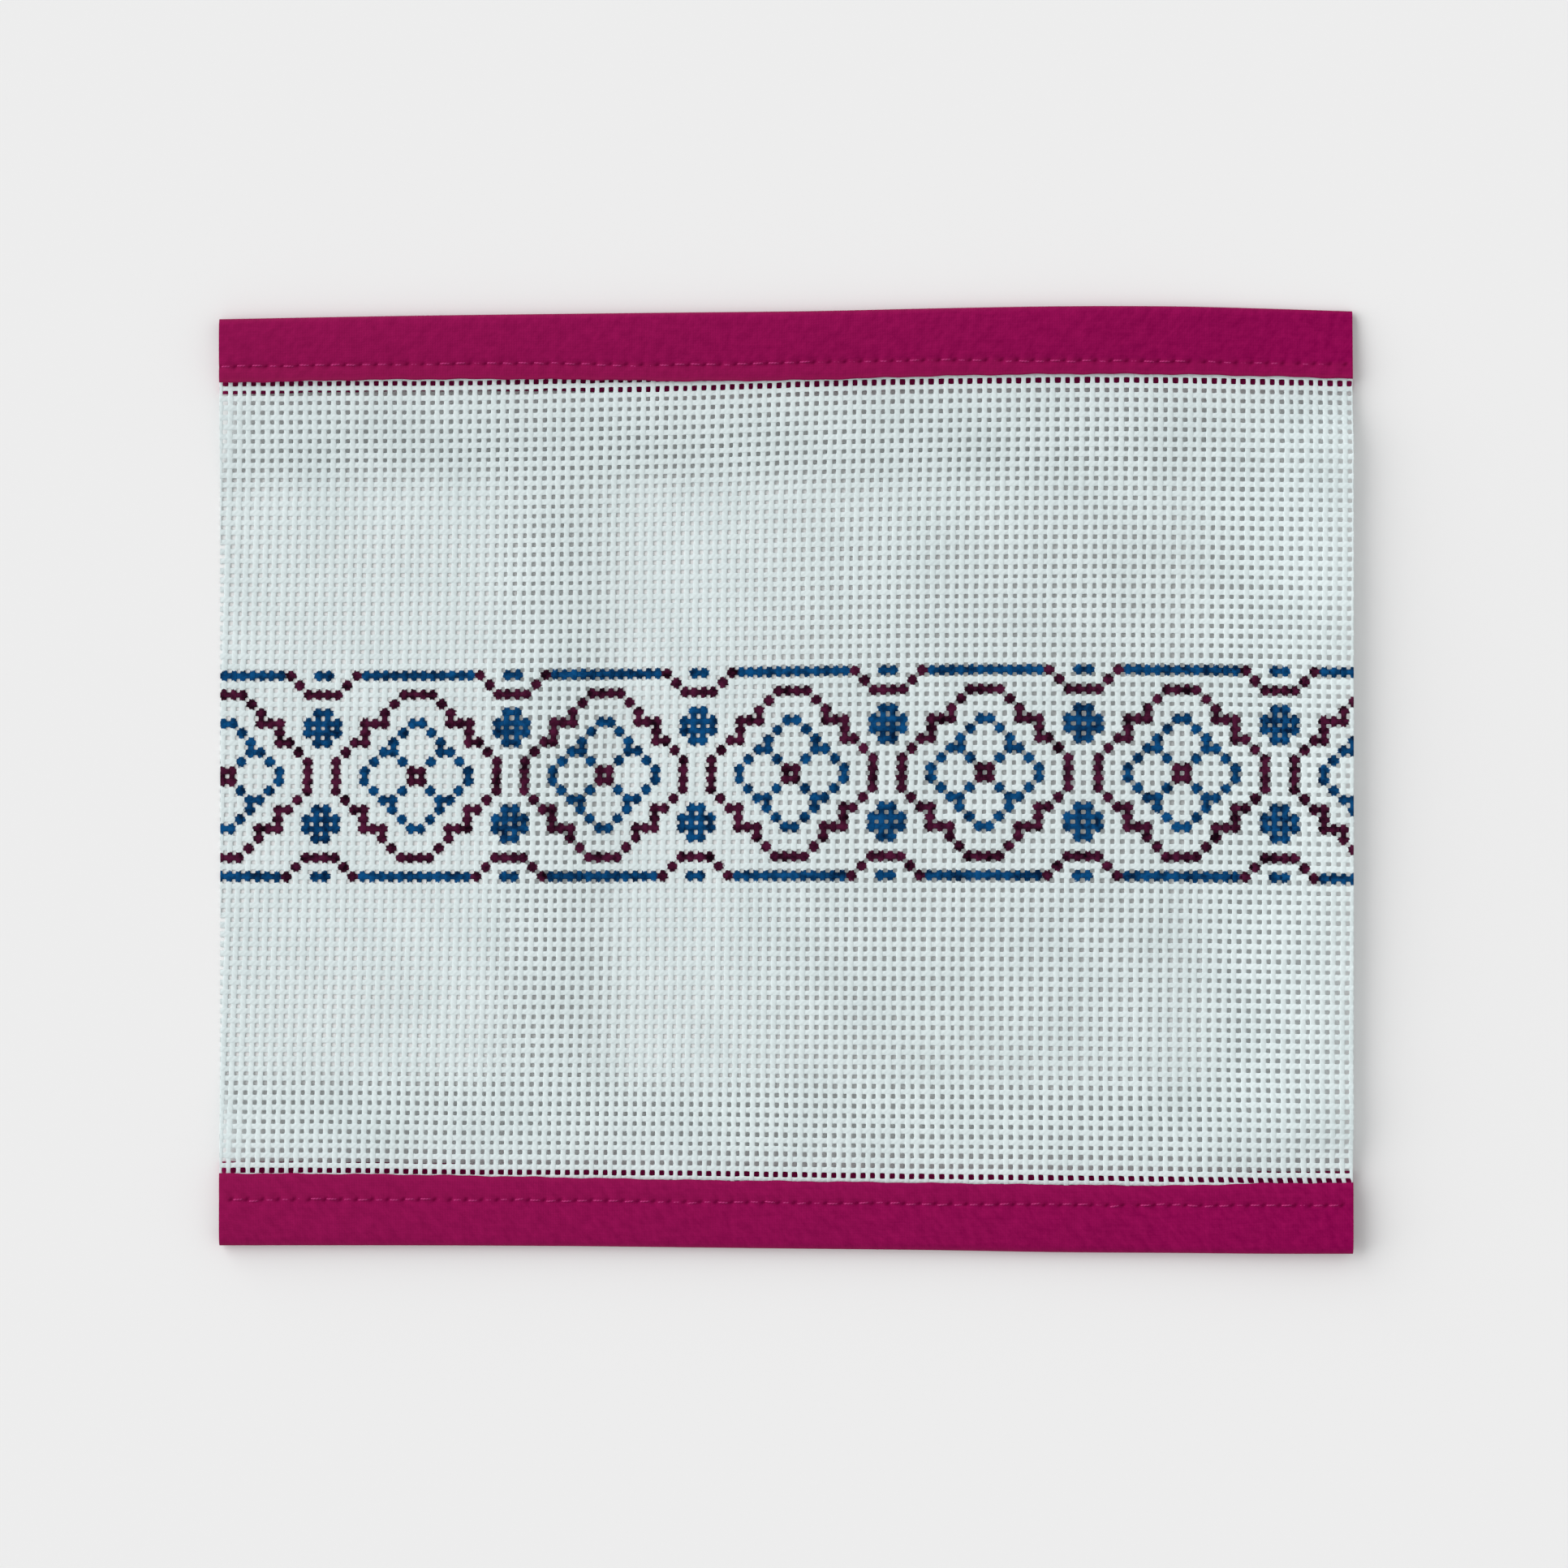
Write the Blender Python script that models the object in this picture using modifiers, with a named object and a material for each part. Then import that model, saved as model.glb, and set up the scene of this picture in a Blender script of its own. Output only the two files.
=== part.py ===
"""A needlepoint canvas panel with two bound edges, lying on a table with its painted face up.

Metres. +X runs along the bound edges, +Y across the panel to the far binding, and +Z is up.
The origin is on the table, under the middle of the panel.

The panel is one sheet of open canvas. A tape is folded over each of its long edges and sewn
through. The canvas is held up by the tapes' back legs, and between them it sags on to the table
at the left and stands a little off it elsewhere.
"""

import math
from collections import namedtuple

import bmesh
import bpy

MM = 0.001

# Driving dimensions
PANEL_WIDTH = 166.7 * MM
CANVAS_THICKNESS = 1.0 * MM
TAPE_THICKNESS = 1.0 * MM
PIECE_GAP = 0.3 * MM
BACK_LEG_OVERREACH = 1.4 * MM

# The canvas edge stops short of the fold, clear of the fold's round inside.
CANVAS_SET_IN = 2.2 * MM
# The canvas stays level this far past the back leg, then settles over the next stretch.
LEVEL_LIP = 1.0 * MM
SETTLING_LENGTH = 23.0 * MM

# How finely each surface is divided
STATIONS_ALONG_TAPE = 26
SEGMENTS_IN_FOLD = 6
CANVAS_COLUMNS = 30
LIP_ROWS = 3
MIDDLE_ROWS = 22

# Worked out from the driving dimensions
HALF_WIDTH = PANEL_WIDTH / 2
CANVAS_UNDERSIDE = TAPE_THICKNESS + PIECE_GAP
TAPE_HEIGHT = 2 * (TAPE_THICKNESS + PIECE_GAP) + CANVAS_THICKNESS
FOLD_RADIUS = (TAPE_HEIGHT - TAPE_THICKNESS) / 2

# The lines that a binding follows, as distances from the panel's middle, in mm. fold is the
# bound edge, seam the row of stitches and face the free edge on the painted side. The tapes
# were sewn on by hand and eye, so none of the lines is quite straight.
Station = namedtuple("Station", "along fold seam face")
FAR_STATIONS = (
    Station(-83.35, 67.8, 60.7, 58.5),
    Station(-56.0, 68.3, 61.1, 59.1),
    Station(-32.0, 68.6, 61.2, 58.9),
    Station(-14.0, 68.8, 61.0, 58.6),
    Station(4.0, 69.0, 61.4, 58.8),
    Station(22.0, 69.4, 61.7, 59.3),
    Station(40.0, 69.7, 61.7, 59.4),
    Station(57.5, 69.7, 61.5, 59.3),
    Station(70.5, 69.4, 61.3, 59.2),
    Station(83.35, 69.0, 61.1, 58.9),
)
NEAR_STATIONS = (
    Station(-83.35, 68.5, 61.7, 57.9),
    Station(-56.0, 68.5, 61.7, 58.2),
    Station(-32.0, 68.6, 61.8, 58.6),
    Station(-14.0, 68.8, 62.0, 58.9),
    Station(4.0, 69.0, 62.2, 59.1),
    Station(22.0, 69.2, 62.3, 59.4),
    Station(40.0, 69.5, 62.5, 59.7),
    Station(57.5, 69.6, 62.5, 59.7),
    Station(70.5, 69.7, 62.5, 59.4),
    Station(83.35, 69.7, 62.5, 59.4),
)

# How far the face leg of a tape puffs up on each side of its seam. place runs from 0 to 1
# across its span, and lift is in mm.
Puff = namedtuple("Puff", "place lift")
PUFFS_FREE_EDGE_TO_SEAM = (Puff(0.0, 0.08), Puff(0.5, 0.1), Puff(1.0, 0.0))
PUFFS_SEAM_TO_FOLD = (Puff(0.2, 0.1), Puff(0.5, 0.18), Puff(0.8, 0.12), Puff(1.0, 0.0))

# Swells of the canvas off the table, in mm. Each is highest at x, y and dies away at its reach.
Swell = namedtuple("Swell", "x y reach_x reach_y rise")
SWELLS = (
    Swell(-34.0, 0.0, 13.0, 95.0, 0.8),
    Swell(14.0, -10.0, 28.0, 90.0, 0.6),
    Swell(46.0, 8.0, 34.0, 95.0, 0.7),
    Swell(86.0, -4.0, 30.0, 110.0, 1.3),
)

FAR = 1
NEAR = -1


def clear_scene():
    for leftover in list(bpy.data.objects):
        bpy.data.objects.remove(leftover, do_unlink=True)


def new_collection(name):
    collection = bpy.data.collections.new(name)
    bpy.context.scene.collection.children.link(collection)
    return collection


def cloth_material(name, colour, roughness):
    material = bpy.data.materials.new(name)
    material.use_nodes = True
    shader = material.node_tree.nodes["Principled BSDF"]
    shader.inputs["Base Color"].default_value = (*colour, 1.0)
    shader.inputs["Roughness"].default_value = roughness
    shader.inputs["Metallic"].default_value = 0.0
    material.diffuse_color = (*colour, 1.0)
    return material


def line_at(stations, along, column):
    """The distance from the panel's middle of one of a binding's lines, on a smooth curve
    through the stations."""
    places = [station.along * MM for station in stations]
    values = [getattr(station, column) * MM for station in stations]
    last = len(places) - 1
    right = 1
    while right < last and along > places[right]:
        right += 1
    left = right - 1

    def slope(index):
        before = max(index - 1, 0)
        after = min(index + 1, last)
        return (values[after] - values[before]) / (places[after] - places[before])

    span = places[right] - places[left]
    t = (along - places[left]) / span
    ease = t * t * (3 - 2 * t)
    leave = t * (1 - t) ** 2 * span * slope(left)
    arrive = t * t * (t - 1) * span * slope(right)
    return values[left] + ease * (values[right] - values[left]) + leave + arrive


def lip_end(stations, along):
    """Where the canvas starts to sag, as a distance from the panel's middle."""
    return line_at(stations, along, "face") - BACK_LEG_OVERREACH - LEVEL_LIP


def hump(distance, reach):
    """1 in the middle, falling to 0 at the reach and beyond it."""
    if abs(distance) >= reach:
        return 0.0
    return (1 + math.cos(math.pi * distance / reach)) / 2


def swell_height(x, y):
    height = 0.0
    for swell in SWELLS:
        across = hump(x - swell.x * MM, swell.reach_x * MM)
        up = hump(y - swell.y * MM, swell.reach_y * MM)
        height += swell.rise * MM * across * up
    return height


def canvas_height(x, y):
    """The height of the canvas's underside over the table."""
    far_distance = lip_end(FAR_STATIONS, x) - y
    near_distance = y + lip_end(NEAR_STATIONS, x)
    distance = max(min(far_distance, near_distance), 0.0)
    held = hump(distance, SETTLING_LENGTH)
    return held * CANVAS_UNDERSIDE + (1 - held) * swell_height(x, y)


def canvas_row(row, along):
    """The y of a row of the canvas, counted from its near edge to its far edge."""
    near_edge = -(line_at(NEAR_STATIONS, along, "fold") - CANVAS_SET_IN)
    near_lip = -lip_end(NEAR_STATIONS, along)
    far_lip = lip_end(FAR_STATIONS, along)
    far_edge = line_at(FAR_STATIONS, along, "fold") - CANVAS_SET_IN
    if row <= LIP_ROWS:
        return near_edge + (near_lip - near_edge) * row / LIP_ROWS
    if row <= LIP_ROWS + MIDDLE_ROWS:
        return near_lip + (far_lip - near_lip) * (row - LIP_ROWS) / MIDDLE_ROWS
    return far_lip + (far_edge - far_lip) * (row - LIP_ROWS - MIDDLE_ROWS) / LIP_ROWS


def tape_path(stations, along):
    """The middle of the tape's thickness, from the free edge on the face, over the fold, to the
    free edge on the back, as distances from the panel's middle and heights."""
    fold_centre = line_at(stations, along, "fold") - TAPE_THICKNESS / 2 - FOLD_RADIUS
    seam = line_at(stations, along, "seam")
    face_edge = line_at(stations, along, "face")
    back_edge = face_edge - BACK_LEG_OVERREACH
    face_height = TAPE_HEIGHT - TAPE_THICKNESS / 2
    middle_height = TAPE_HEIGHT / 2

    path = []
    for start, end, puffs in (
        (face_edge, seam, PUFFS_FREE_EDGE_TO_SEAM),
        (seam, fold_centre, PUFFS_SEAM_TO_FOLD),
    ):
        for puff in puffs:
            path.append((start + (end - start) * puff.place, face_height + puff.lift * MM))
    for step in range(1, SEGMENTS_IN_FOLD + 1):
        angle = math.pi / 2 - math.pi * step / SEGMENTS_IN_FOLD
        reach = fold_centre + FOLD_RADIUS * math.cos(angle)
        path.append((reach, middle_height + FOLD_RADIUS * math.sin(angle)))
    path.append((back_edge, TAPE_THICKNESS / 2))
    return path


def grid_surface(name, columns, rows, place):
    """A grid of columns by rows faces whose corners lie where place(column, row) says."""
    mesh = bpy.data.meshes.new(name)
    build = bmesh.new()
    bmesh.ops.create_grid(build, x_segments=columns, y_segments=rows, size=1.0)
    for corner in build.verts:
        column = round((corner.co.x + 1) / 2 * columns)
        row = round((corner.co.y + 1) / 2 * rows)
        corner.co = place(column, row)
    build.to_mesh(mesh)
    build.free()
    return bpy.data.objects.new(name, mesh)


def give_thickness(sheet, thickness, side):
    """side is 1 for growth along the sheet's normals, and 0 for half on each side."""
    solidify = sheet.modifiers.new("Thickness", "SOLIDIFY")
    solidify.thickness = thickness
    solidify.offset = side
    solidify.use_even_offset = True
    solidify.use_rim = True


def finish(sheet, collection, material):
    sheet.data.materials.append(material)
    sheet.data.shade_smooth()
    sheet.data.set_sharp_from_angle(angle=math.radians(40))
    collection.objects.link(sheet)


def make_canvas(collection, material):
    """The sheet of open canvas, from inside one tape to inside the other."""

    def place(column, row):
        x = -HALF_WIDTH + PANEL_WIDTH * column / CANVAS_COLUMNS
        y = canvas_row(row, x)
        return (x, y, canvas_height(x, y))

    canvas = grid_surface("canvas", CANVAS_COLUMNS, 2 * LIP_ROWS + MIDDLE_ROWS, place)
    give_thickness(canvas, CANVAS_THICKNESS, side=1)
    finish(canvas, collection, material)


def make_binding(name, side, stations, collection, material):
    """A tape folded over the edge of the canvas on the side named FAR or NEAR."""
    points_across = len(tape_path(stations, 0.0))

    def place(column, row):
        x = side * (HALF_WIDTH - PANEL_WIDTH * column / STATIONS_ALONG_TAPE)
        distance, height = tape_path(stations, x)[row]
        return (x, side * distance, height)

    tape = grid_surface(name, STATIONS_ALONG_TAPE, points_across - 1, place)
    give_thickness(tape, TAPE_THICKNESS, side=0)
    finish(tape, collection, material)


def main():
    clear_scene()
    collection = new_collection("needlepoint_canvas_panel")
    canvas_cotton = cloth_material("white_cotton_canvas", (0.76, 0.84, 0.83), roughness=0.85)
    tape_cotton = cloth_material("magenta_cotton_tape", (0.25, 0.007, 0.07), roughness=0.9)
    make_canvas(collection, canvas_cotton)
    make_binding("binding_far", FAR, FAR_STATIONS, collection, tape_cotton)
    make_binding("binding_near", NEAR, NEAR_STATIONS, collection, tape_cotton)


main()
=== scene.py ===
"""A needlepoint canvas panel: open cotton canvas with a painted band, bound with magenta tape.

The panel's solids give each part its place. Here they are replaced by what a maker would see:
every thread of the canvas, the paint on them, the two folded tapes and the machine stitches.
Lengths are in millimetres until a mesh is made. +X runs along the bound edges, +Y across the
panel to the far binding, and +Z is up from the table.
"""

from collections import namedtuple
from functools import partial

import bpy
import numpy as np
from bpy.props import FloatProperty, FloatVectorProperty, PointerProperty
from bpy.types import Operator, Panel, PropertyGroup
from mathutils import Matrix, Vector


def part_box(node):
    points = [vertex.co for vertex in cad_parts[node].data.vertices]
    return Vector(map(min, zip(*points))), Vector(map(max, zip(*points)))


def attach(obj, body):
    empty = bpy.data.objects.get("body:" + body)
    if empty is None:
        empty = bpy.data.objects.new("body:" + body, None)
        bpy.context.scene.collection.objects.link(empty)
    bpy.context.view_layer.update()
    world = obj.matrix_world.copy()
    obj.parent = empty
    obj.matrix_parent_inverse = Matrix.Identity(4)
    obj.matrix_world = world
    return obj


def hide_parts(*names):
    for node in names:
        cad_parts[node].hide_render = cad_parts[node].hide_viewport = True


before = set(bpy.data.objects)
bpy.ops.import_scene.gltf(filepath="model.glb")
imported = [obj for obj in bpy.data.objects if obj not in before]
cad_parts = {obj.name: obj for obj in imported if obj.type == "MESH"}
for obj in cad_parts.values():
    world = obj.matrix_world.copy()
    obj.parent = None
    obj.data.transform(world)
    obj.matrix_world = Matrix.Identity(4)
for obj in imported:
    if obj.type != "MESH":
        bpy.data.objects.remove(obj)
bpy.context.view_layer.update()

bl_info = {
    "name": "Needlepoint canvas panel",
    "version": (1, 0, 0),
    "blender": (4, 5, 0),
    "location": "3D View > Sidebar > Needlepoint",
    "description": "Weaves, paints and binds a small panel of needlepoint canvas",
    "category": "Object",
}

MM = 0.001
HALF_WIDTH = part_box("canvas")[1].x / MM
UP = np.array((0.0, 0.0, 1.0))
RIGHT = np.array((1.0, 0.0, 0.0))
NEARER = np.array((0.0, -1.0, 0.0))
TAPE_STATIONS = 291
SHARP_ANGLE = 1.1

# The lines that a binding follows, as distances from the panel's middle. fold is the bound
# edge, seam the row of stitches and face the free edge on the painted side.
Station = namedtuple("Station", "along fold seam face")
FAR_STATIONS = (
    Station(-83.35, 67.8, 60.7, 58.35),
    Station(-56.0, 68.3, 61.1, 58.85),
    Station(-32.0, 68.6, 61.2, 58.85),
    Station(-14.0, 68.8, 61.0, 58.6),
    Station(4.0, 69.0, 61.4, 58.8),
    Station(22.0, 69.4, 61.7, 59.35),
    Station(40.0, 69.7, 61.7, 59.65),
    Station(57.5, 69.7, 61.5, 59.6),
    Station(70.5, 69.4, 61.3, 59.35),
    Station(83.35, 69.0, 61.1, 59.0),
)
NEAR_STATIONS = (
    Station(-83.35, 68.5, 61.7, 57.8),
    Station(-56.0, 68.5, 61.7, 58.0),
    Station(-32.0, 68.6, 61.8, 58.45),
    Station(-14.0, 68.8, 62.0, 58.8),
    Station(4.0, 69.0, 62.2, 59.0),
    Station(22.0, 69.2, 62.3, 59.25),
    Station(40.0, 69.5, 62.5, 59.5),
    Station(57.5, 69.6, 62.5, 59.6),
    Station(70.5, 69.7, 62.5, 59.25),
    Station(83.35, 69.7, 62.5, 59.2),
)

# One binding: the node it replaces, which way it faces (+1 for the far edge, -1 for the near
# one), its lines, where along it the row of stitches starts, how far each stitch climbs to the
# right, and how much dye has rubbed off its free edge.
Binding = namedtuple("Binding", "node side stations first_hole climb edge_rub")
BINDINGS = (
    Binding("binding_far", 1, FAR_STATIONS, -83.45, 0.0, 0.35),
    Binding("binding_near", -1, NEAR_STATIONS, -81.7, 0.07, 0.12),
)
FAR, NEAR = BINDINGS

# How the canvas lies: held between the legs of the tapes, then settling on to the table at the
# left and over low swells elsewhere. The right end stands up. The real cloth is thinner than
# its solids.
HALF_CANVAS = 0.15
HELD_HEIGHT = 1.3
TAPE_HEIGHT = 2.6
HEM_RADIUS = 0.17
BACK_LEG_OVERREACH = 1.6
LEVEL_LIP = 1.0
SETTLING_LENGTH = 15.0
Swell = namedtuple("Swell", "x y reach_x reach_y rise")
SWELLS = (
    Swell(-34.0, 0.0, 13.0, 95.0, 0.5),
    Swell(14.0, -10.0, 28.0, 90.0, 0.35),
    Swell(46.0, 8.0, 34.0, 95.0, 0.45),
    Swell(86.0, 4.0, 28.0, 170.0, 3.4),
)
# The near right corner curls up off the table. The far right one is pressed down, from nothing
# in the canvas to most at the fold. Only what lies higher than the lowest cloth can be pressed.
LOWEST_CLOTH = 0.15
CORNER_CURL = 0.6
CURL_REACH = 45.0
CORNER_PRESS = 0.55
PRESS_REACH = 40.0
PRESS_START = 55.0
PRESS_FULL = 67.0

# The count of the canvas. The painted medallions are twenty warps apart. The cut is straight
# but the warps lean, so each medallion has its place on the panel's middle line and its shift
# where the warps meet the far and the near binding.
WARPS_IN_REPEAT = 20
SHIFT_DISTANCE = 60.0
Medallion = namedtuple("Medallion", "place far_shift near_shift")
MEDALLIONS = (
    Medallion(-82.42, 1.42, -1.85),
    Medallion(-54.42, 1.15, -1.58),
    Medallion(-26.74, 1.05, -1.29),
    Medallion(0.70, 1.03, -0.81),
    Medallion(29.20, 0.72, -0.55),
    Medallion(58.27, 0.50, -0.32),
    Medallion(86.85, 0.38, -0.10),
)
# How the rows of holes run: the heights, at places along, of the middle row of the painted band
# and of the fortieth rows to each side of it. The cloth is a little slacker to the right.
ROWS_COUNTED = 40
RowLine = namedtuple("RowLine", "along near middle far")
ROW_LINES = (
    RowLine(-79.8, -55.99, 0.55, 56.83),
    RowLine(-65.5, -56.00, 0.53, 56.89),
    RowLine(-48.7, -56.20, 0.57, 56.95),
    RowLine(-32.0, -56.28, 0.66, 57.25),
    RowLine(-12.9, -56.39, 0.82, 57.66),
    RowLine(6.1, -56.67, 1.00, 58.33),
    RowLine(25.2, -56.90, 1.12, 58.66),
    RowLine(44.3, -57.10, 1.10, 58.83),
    RowLine(61.0, -57.30, 0.98, 58.71),
    RowLine(70.6, -57.41, 0.84, 58.53),
    RowLine(78.9, -57.49, 0.68, 58.37),
)
# Warps and wefts are counted from the first medallion's middle. The first and last warps run
# out at the straight cuts.
FIRST_WARP = -1
WARPS = 120
WARPS_IN_STRIP = 20
WEFTS = 93
WEFTS_BELOW_MIDDLE = 47
CUT_END_WEFT = 0.35
THINNEST_SLIVER = 0.06
# How far threads and crossings stray from their places, and their widths from the usual.
THREAD_STRAY = 0.03
WARP_CROSSING_STRAY = 0.025
WEFT_CROSSING_STRAY = 0.022
CROSSING_WIDTH_STRAY = 0.035

# One quarter of the painted repeat, charted by counting threads: b is a blue stitch, m a
# maroon one. Its lower left corner is the middle of a medallion.
QUARTER_CHART = (
    "bbbbbbm..b",
    ".......m..",
    "mm......mm",
    "..m.......",
    "...m.....b",
    "b..mmm..bb",
    ".b...m..bb",
    "..b..mm..b",
    "..bb...m..",
    ".b..b...m.",
    "m....b..m.",
)

# The section of a canvas thread: its corners across it and up, as shares of half its width
# and half its height, and how much of the brushed paint each corner takes.
SECTION_ACROSS = np.array((1.0, 0.74, -0.74, -1.0, -1.0, -0.74, 0.74, 1.0))
SECTION_UP = np.array((0.35, 1.0, 1.0, 0.35, -0.35, -1.0, -1.0, -0.35))
SECTION_PAINT = np.array((0.97, 1.0, 1.0, 0.97, 0.6, 0.35, 0.35, 0.6))
# The paint thins over the top of a thread and gathers at its sides. This also paints a highlight on
# the thread tops, in the thin colour, and painted shade at their sides, in the thick one.
SECTION_PAINT_LOAD_AND_SHADE = np.array((1.0, 0.55, 0.55, 1.0, 1.2, 1.2, 1.2, 1.2))
# How far the surface leans outwards at each corner. The size fills and levels the threads, so
# it leans less than the corners do.
SECTION_LEAN = np.array((0.62, 0.14, -0.14, -0.62, -0.62, -0.14, 0.14, 0.62))

# The film of paint that dries in the corners of a crossing: its reach at each sixteenth turn,
# its height over the middle of the canvas, and its bulge.
FILM_REACH = np.tile((0.80, 0.68, 0.60, 0.68), 4)
FILM_LEVEL = 0.05
FILM_DOME = 0.07


def linear(hex_colour):
    """A colour written as #rrggbb, as the linear values that a shader takes."""
    shares = np.array([int(hex_colour[place : place + 2], 16) / 255 for place in (1, 3, 5)])
    curve = np.where(shares <= 0.04045, shares / 12.92, ((shares + 0.055) / 1.055) ** 2.4)
    return tuple(float(value) for value in curve)


def with_alpha(colour):
    return (colour[0], colour[1], colour[2], 1.0)


def smooth_line(places, values, at):
    """The height at any place of a smooth curve through values at the given places."""
    places = np.asarray(places, float)
    values = np.asarray(values, float)
    at = np.asarray(at, float)
    slopes = np.gradient(values, places, edge_order=1)
    slopes[1:-1] = (values[2:] - values[:-2]) / (places[2:] - places[:-2])
    left = np.clip(np.searchsorted(places, at) - 1, 0, len(places) - 2)
    span = places[left + 1] - places[left]
    t = (at - places[left]) / span
    ease = t * t * (3 - 2 * t)
    leave = t * (1 - t) ** 2 * span * slopes[left]
    arrive = t * t * (t - 1) * span * slopes[left + 1]
    return values[left] + ease * (values[left + 1] - values[left]) + leave + arrive


def binding_line(binding, column, x):
    places = [station.along for station in binding.stations]
    return smooth_line(places, [getattr(station, column) for station in binding.stations], x)


def hump(distance, reach):
    """1 in the middle, falling to 0 at the reach and beyond it."""
    share = np.clip(np.abs(distance) / reach, 0, 1)
    return (1 + np.cos(np.pi * share)) / 2


def settled(side, x, distance, height):
    """Where a point of a binding comes to lie: the near right corner is lifted, and the far
    right one is pressed down."""
    if side < 0:
        return height + CORNER_CURL * hump(x - HALF_WIDTH, CURL_REACH)
    spare = np.maximum(height - LOWEST_CLOTH, 0)
    share = np.clip((distance - PRESS_START) / (PRESS_FULL - PRESS_START), 0, 1)
    return height - CORNER_PRESS * share * spare * hump(x - HALF_WIDTH, PRESS_REACH)


def canvas_underside(x, y):
    """The height of the canvas's underside over the table."""
    lip = BACK_LEG_OVERREACH + LEVEL_LIP
    far_distance = binding_line(FAR, "face", x) - lip - y
    near_distance = y + binding_line(NEAR, "face", x) - lip
    held = hump(np.maximum(np.minimum(far_distance, near_distance), 0), SETTLING_LENGTH)
    held_height = np.where(y < 0, settled(-1, x, -y, HELD_HEIGHT), settled(1, x, y, HELD_HEIGHT))
    swells = sum(
        swell.rise * hump(x - swell.x, swell.reach_x) * hump(y - swell.y, swell.reach_y)
        for swell in SWELLS
    )
    return held * held_height + (1 - held**3) * swells


def between(table, counts, at):
    """Rows of a table at places between its counted rows, straight from row to row."""
    right = np.clip(np.searchsorted(counts, at), 1, len(counts) - 1)
    share = (at - counts[right - 1]) / (counts[right] - counts[right - 1])
    share = share.reshape(-1, *[1] * (table.ndim - 1))
    return table[right - 1] * (1 - share) + table[right] * share


def tubes_into_faces(kept, corners):
    """The sides and end caps of tubes whose points are laid out as [ring, tube, corner].

    kept says which rings a tube has. The faces count only the points of those rings.
    """
    index = np.repeat(np.cumsum(kept.ravel()).reshape(kept.shape)[..., None] - 1, corners, 2)
    index = index * corners + np.arange(corners)
    here = index[:-1]
    ahead = index[1:]
    sides = np.stack((here, ahead, np.roll(ahead, -1, 2), np.roll(here, -1, 2)), -1)
    sides = sides[kept[:-1] & kept[1:]].reshape(-1, 4)
    before = np.vstack((np.zeros_like(kept[:1]), kept[:-1]))
    after = np.vstack((kept[1:], np.zeros_like(kept[:1])))
    starts = index[kept & ~before]
    ends = index[kept & ~after][:, ::-1]
    return sides, np.concatenate((starts, ends))


def tube_points(centres, across, widths, heights):
    """Corners round the centres, laid out as [ring, tube, corner, xyz]."""
    sideways = widths[..., None] * SECTION_ACROSS / 2
    upward = heights[..., None] * SECTION_UP / 2
    return centres[:, :, None] + sideways[..., None] * across + upward[..., None] * UP


def tube_normals(centres, across):
    """Which way the surface faces at the corners of tubes round the centres."""
    run = np.gradient(centres, axis=0)
    run /= np.maximum(np.linalg.norm(run, axis=-1, keepdims=True), 1e-6)
    upward = UP - run * run[..., 2:]
    upward /= np.linalg.norm(upward, axis=-1, keepdims=True)
    rise = np.sqrt(1 - SECTION_LEAN**2) * np.sign(SECTION_UP)
    return upward[:, :, None] * rise[:, None] + across * SECTION_LEAN[:, None]


def new_piece(name, points, faces, attributes, material, node, normals=None):
    """Makes a mesh object from points in millimetres and gives it its place in the frame."""
    mesh = bpy.data.meshes.new(name)
    mesh.from_pydata((points.reshape(-1, 3) * MM).tolist(), [], faces)
    for title, values in attributes.items():
        attribute = mesh.attributes.new(title, "FLOAT_VECTOR", "POINT")
        attribute.data.foreach_set("vector", values.astype(np.float32).ravel())
    mesh.shade_smooth()
    mesh.set_sharp_from_angle(angle=SHARP_ANGLE)
    if normals is not None:
        mesh.normals_split_custom_set_from_vertices(normals.tolist())
    mesh.materials.append(material)
    piece = bpy.data.objects.new(name, mesh)
    bpy.context.scene.collection.objects.link(piece)
    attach(piece, "root")
    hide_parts(node)
    return piece


def new_material(name):
    """A material with an empty shader tree, and the function that adds nodes to it."""
    material = bpy.data.materials.new(name)
    material.use_nodes = True
    material.node_tree.nodes.clear()
    return material, partial(add_node, material.node_tree)


def add_node(tree, kind, settings, **links):
    """Adds a shader node with its settings, and links its inputs, named by identifier."""
    node = tree.nodes.new("ShaderNode" + kind)
    sockets = {socket.identifier: socket for socket in node.inputs}
    for title, value in settings.items():
        if title in sockets:
            sockets[title].default_value = value
        else:
            setattr(node, title, value)
    for title, source in links.items():
        tree.links.new(source, sockets[title])
    return node


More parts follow.
